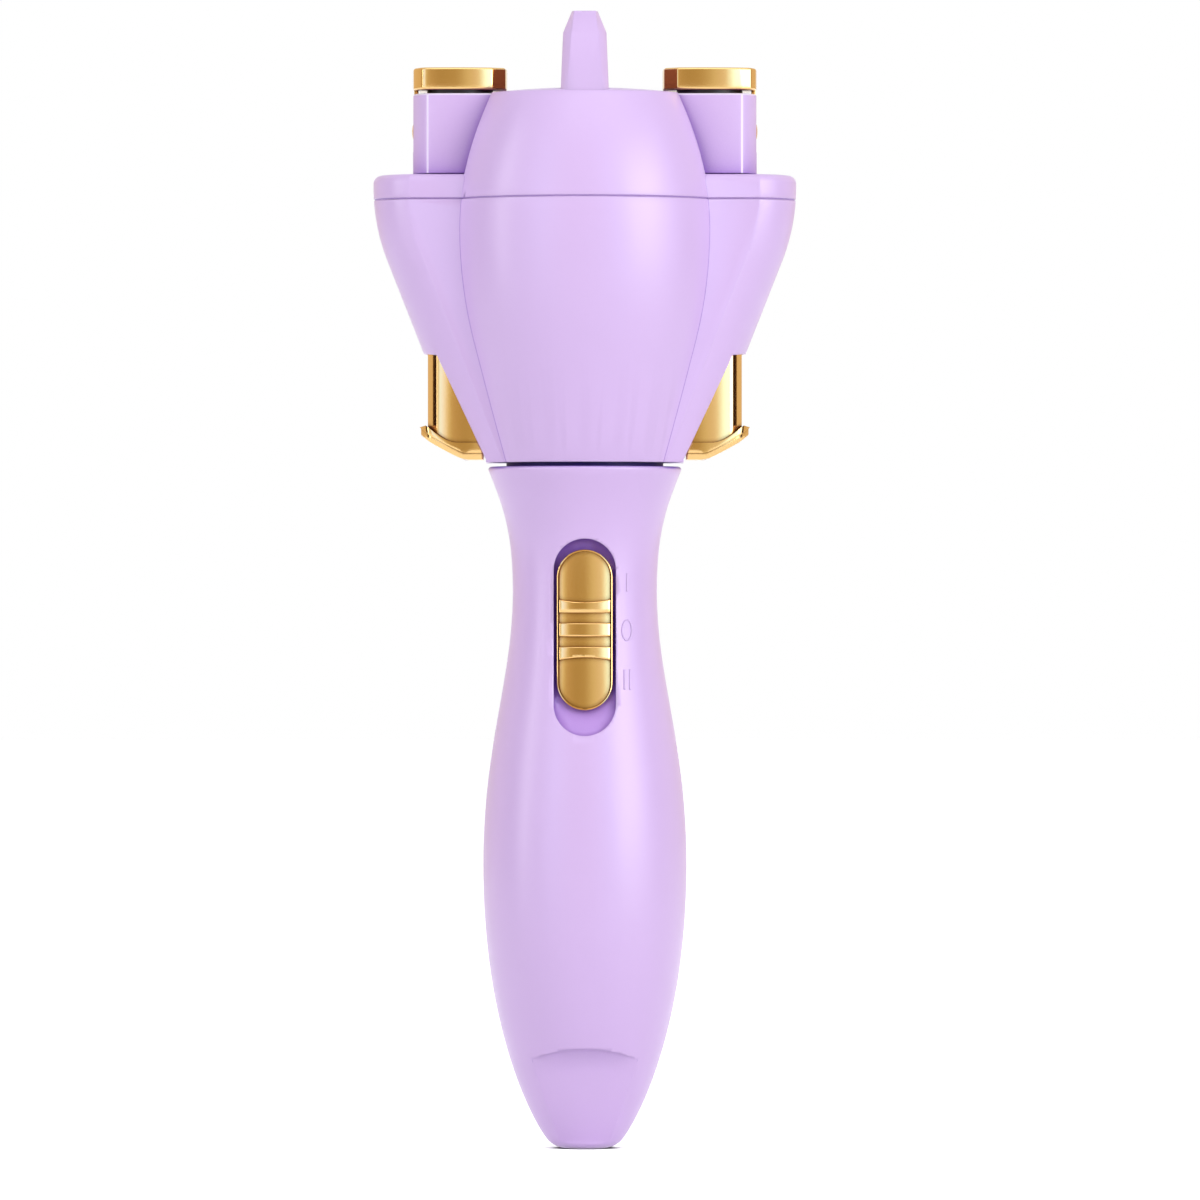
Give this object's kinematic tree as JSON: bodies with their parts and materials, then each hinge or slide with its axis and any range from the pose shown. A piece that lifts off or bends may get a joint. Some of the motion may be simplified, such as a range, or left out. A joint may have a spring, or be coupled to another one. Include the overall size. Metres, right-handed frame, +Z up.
{
  "type": "automatic hair braider",
  "caption": "Battery hair braider: slide-switch handle, turning head, two spinning hair clamps with lift-up caps, and a push-up lever for each clamp.",
  "frame": {"origin": "middle of the flat at the foot of the handle", "axes": "+Z up along the handle to the head; the switch faces -Y; the two clamps lie along X"},
  "size_m": [0.0948, 0.0614, 0.2548],
  "materials": {
    "lavender_plastic": "satin moulded ABS",
    "gold_plate": "ABS with a satin gold electroplated skin",
    "violet_plastic": "plain moulded acetal",
    "white_plastic": "plain moulded acetal",
    "black_plastic": "plain moulded nylon",
    "board": "glass-epoxy board",
    "bronze": "sintered, oiled",
    "steel": "turned and ground",
    "spring_steel": "nickel-plated wire and strip",
    "cell_jacket": null,
    "motor_can": null
  },
  "bodies": {
    "handle": {"handle_front_shell": "lavender_plastic", "handle_rear_shell": "lavender_plastic", "battery_tray": "white_plastic", "battery_left": "cell_jacket", "battery_right": "cell_jacket", "contact_plates": "spring_steel", "contact_springs": "spring_steel", "circuit_board": "board", "switch_body": "black_plastic", "drive_motor": "motor_can", "ring_gear_housing": "white_plastic", "neck_bearing": "bronze", "neck_clutch": "steel", "neck_washer": "violet_plastic", "handle_screws": "steel"},
    "knob": {"switch_knob": "gold_plate"},
    "door": {"battery_door": "lavender_plastic"},
    "pinion": {"motor_pinion": "bronze"},
    "head": {"neck_sleeve": "white_plastic", "sleeve_snap_ring": "steel", "sleeve_screws": "steel", "shaft_clutch": "steel", "head_lower_shell": "lavender_plastic", "head_top_cover": "lavender_plastic", "gear_plate": "white_plastic", "plate_screws": "steel", "shaft_bush": "bronze", "turret_bush_left": "bronze", "turret_bush_right": "bronze"},
    "drive": {"planet_carrier": "white_plastic", "drive_shaft": "steel", "sun_gear": "white_plastic", "shaft_ring": "steel"},
    "planet_1": {"planet_gear_1": "white_plastic"},
    "planet_2": {"planet_gear_2": "white_plastic"},
    "planet_3": {"planet_gear_3": "white_plastic"},
    "turret_left": {"tower_left": "lavender_plastic", "turret_gear_left": "white_plastic", "turret_ring_left": "steel"},
    "clip_left": {"clip_cap_left": "gold_plate", "clip_rod_left": "steel", "clip_spring_left": "spring_steel"},
    "lever_left_body": {"lever_left": "gold_plate", "lever_spring_left": "spring_steel"},
    "turret_right": {"tower_right": "lavender_plastic", "turret_gear_right": "white_plastic", "turret_ring_right": "steel"},
    "clip_right": {"clip_cap_right": "gold_plate", "clip_rod_right": "steel", "clip_spring_right": "spring_steel"},
    "lever_right_body": {"lever_right": "gold_plate", "lever_spring_right": "spring_steel"}
  },
  "joints": [
    {"name": "head_spin", "type": "hinge", "parent": "handle", "child": "head", "pos_m": [0, 0, 0.1533], "axis": [0, 0, 1], "continuous": true},
    {"name": "sun_spin", "type": "hinge", "parent": "head", "child": "drive", "pos_m": [0, 0, 0.2], "axis": [0, 0, 1], "continuous": true},
    {"name": "pinion_spin", "type": "hinge", "parent": "handle", "child": "pinion", "pos_m": [0, 0, 0.13], "axis": [0, 0, 1], "continuous": true},
    {"name": "switch_slide", "type": "slide", "parent": "handle", "child": "knob", "axis": [0, 0, 1], "range_m": [-0.0023, 0.0023]},
    {"name": "door_slide", "type": "slide", "parent": "handle", "child": "door", "axis": [0, 0, -1], "range_m": [0, 0.012]},
    {"name": "planet_spin_1", "type": "hinge", "parent": "drive", "child": "planet_1", "pos_m": [0.0072, 0, 0.13], "axis": [0, 0, 1], "continuous": true},
    {"name": "planet_spin_2", "type": "hinge", "parent": "drive", "child": "planet_2", "pos_m": [-0.0036, 0.00624, 0.13], "axis": [0, 0, 1], "continuous": true},
    {"name": "planet_spin_3", "type": "hinge", "parent": "drive", "child": "planet_3", "pos_m": [-0.0036, -0.00624, 0.13], "axis": [0, 0, 1], "continuous": true},
    {"name": "turret_spin_left", "type": "hinge", "parent": "head", "child": "turret_left", "pos_m": [-0.028, 0, 0.22], "axis": [0, 0, 1], "continuous": true},
    {"name": "lever_lift_left", "type": "slide", "parent": "head", "child": "lever_left_body", "axis": [0, 0, 1], "range_m": [0, 0.006], "stiffness_N_per_m": 350, "springref_m": -0.004, "deforming": ["lever_spring_left"]},
    {"name": "clip_lift_left", "type": "slide", "parent": "turret_left", "child": "clip_left", "axis": [0, 0, 1], "range_m": [0, 0.006], "deforming": ["clip_spring_left"]},
    {"name": "turret_spin_right", "type": "hinge", "parent": "head", "child": "turret_right", "pos_m": [0.028, 0, 0.22], "axis": [0, 0, 1], "continuous": true},
    {"name": "lever_lift_right", "type": "slide", "parent": "head", "child": "lever_right_body", "axis": [0, 0, 1], "range_m": [0, 0.006], "stiffness_N_per_m": 350, "springref_m": -0.004, "deforming": ["lever_spring_right"]},
    {"name": "clip_lift_right", "type": "slide", "parent": "turret_right", "child": "clip_right", "axis": [0, 0, 1], "range_m": [0, 0.006], "deforming": ["clip_spring_right"]}
  ],
  "couplings": [
    {"joint": "pinion_spin", "follows": "sun_spin", "ratio": 4},
    {"joint": "planet_spin_1", "follows": "sun_spin", "ratio": -3},
    {"joint": "planet_spin_2", "follows": "sun_spin", "ratio": -3},
    {"joint": "planet_spin_3", "follows": "sun_spin", "ratio": -3},
    {"joint": "turret_spin_left", "follows": "sun_spin", "ratio": -2.1111},
    {"joint": "clip_lift_left", "follows": "lever_lift_left", "ratio": 1},
    {"joint": "turret_spin_right", "follows": "sun_spin", "ratio": -2.1111},
    {"joint": "clip_lift_right", "follows": "lever_lift_right", "ratio": 1}
  ]
}
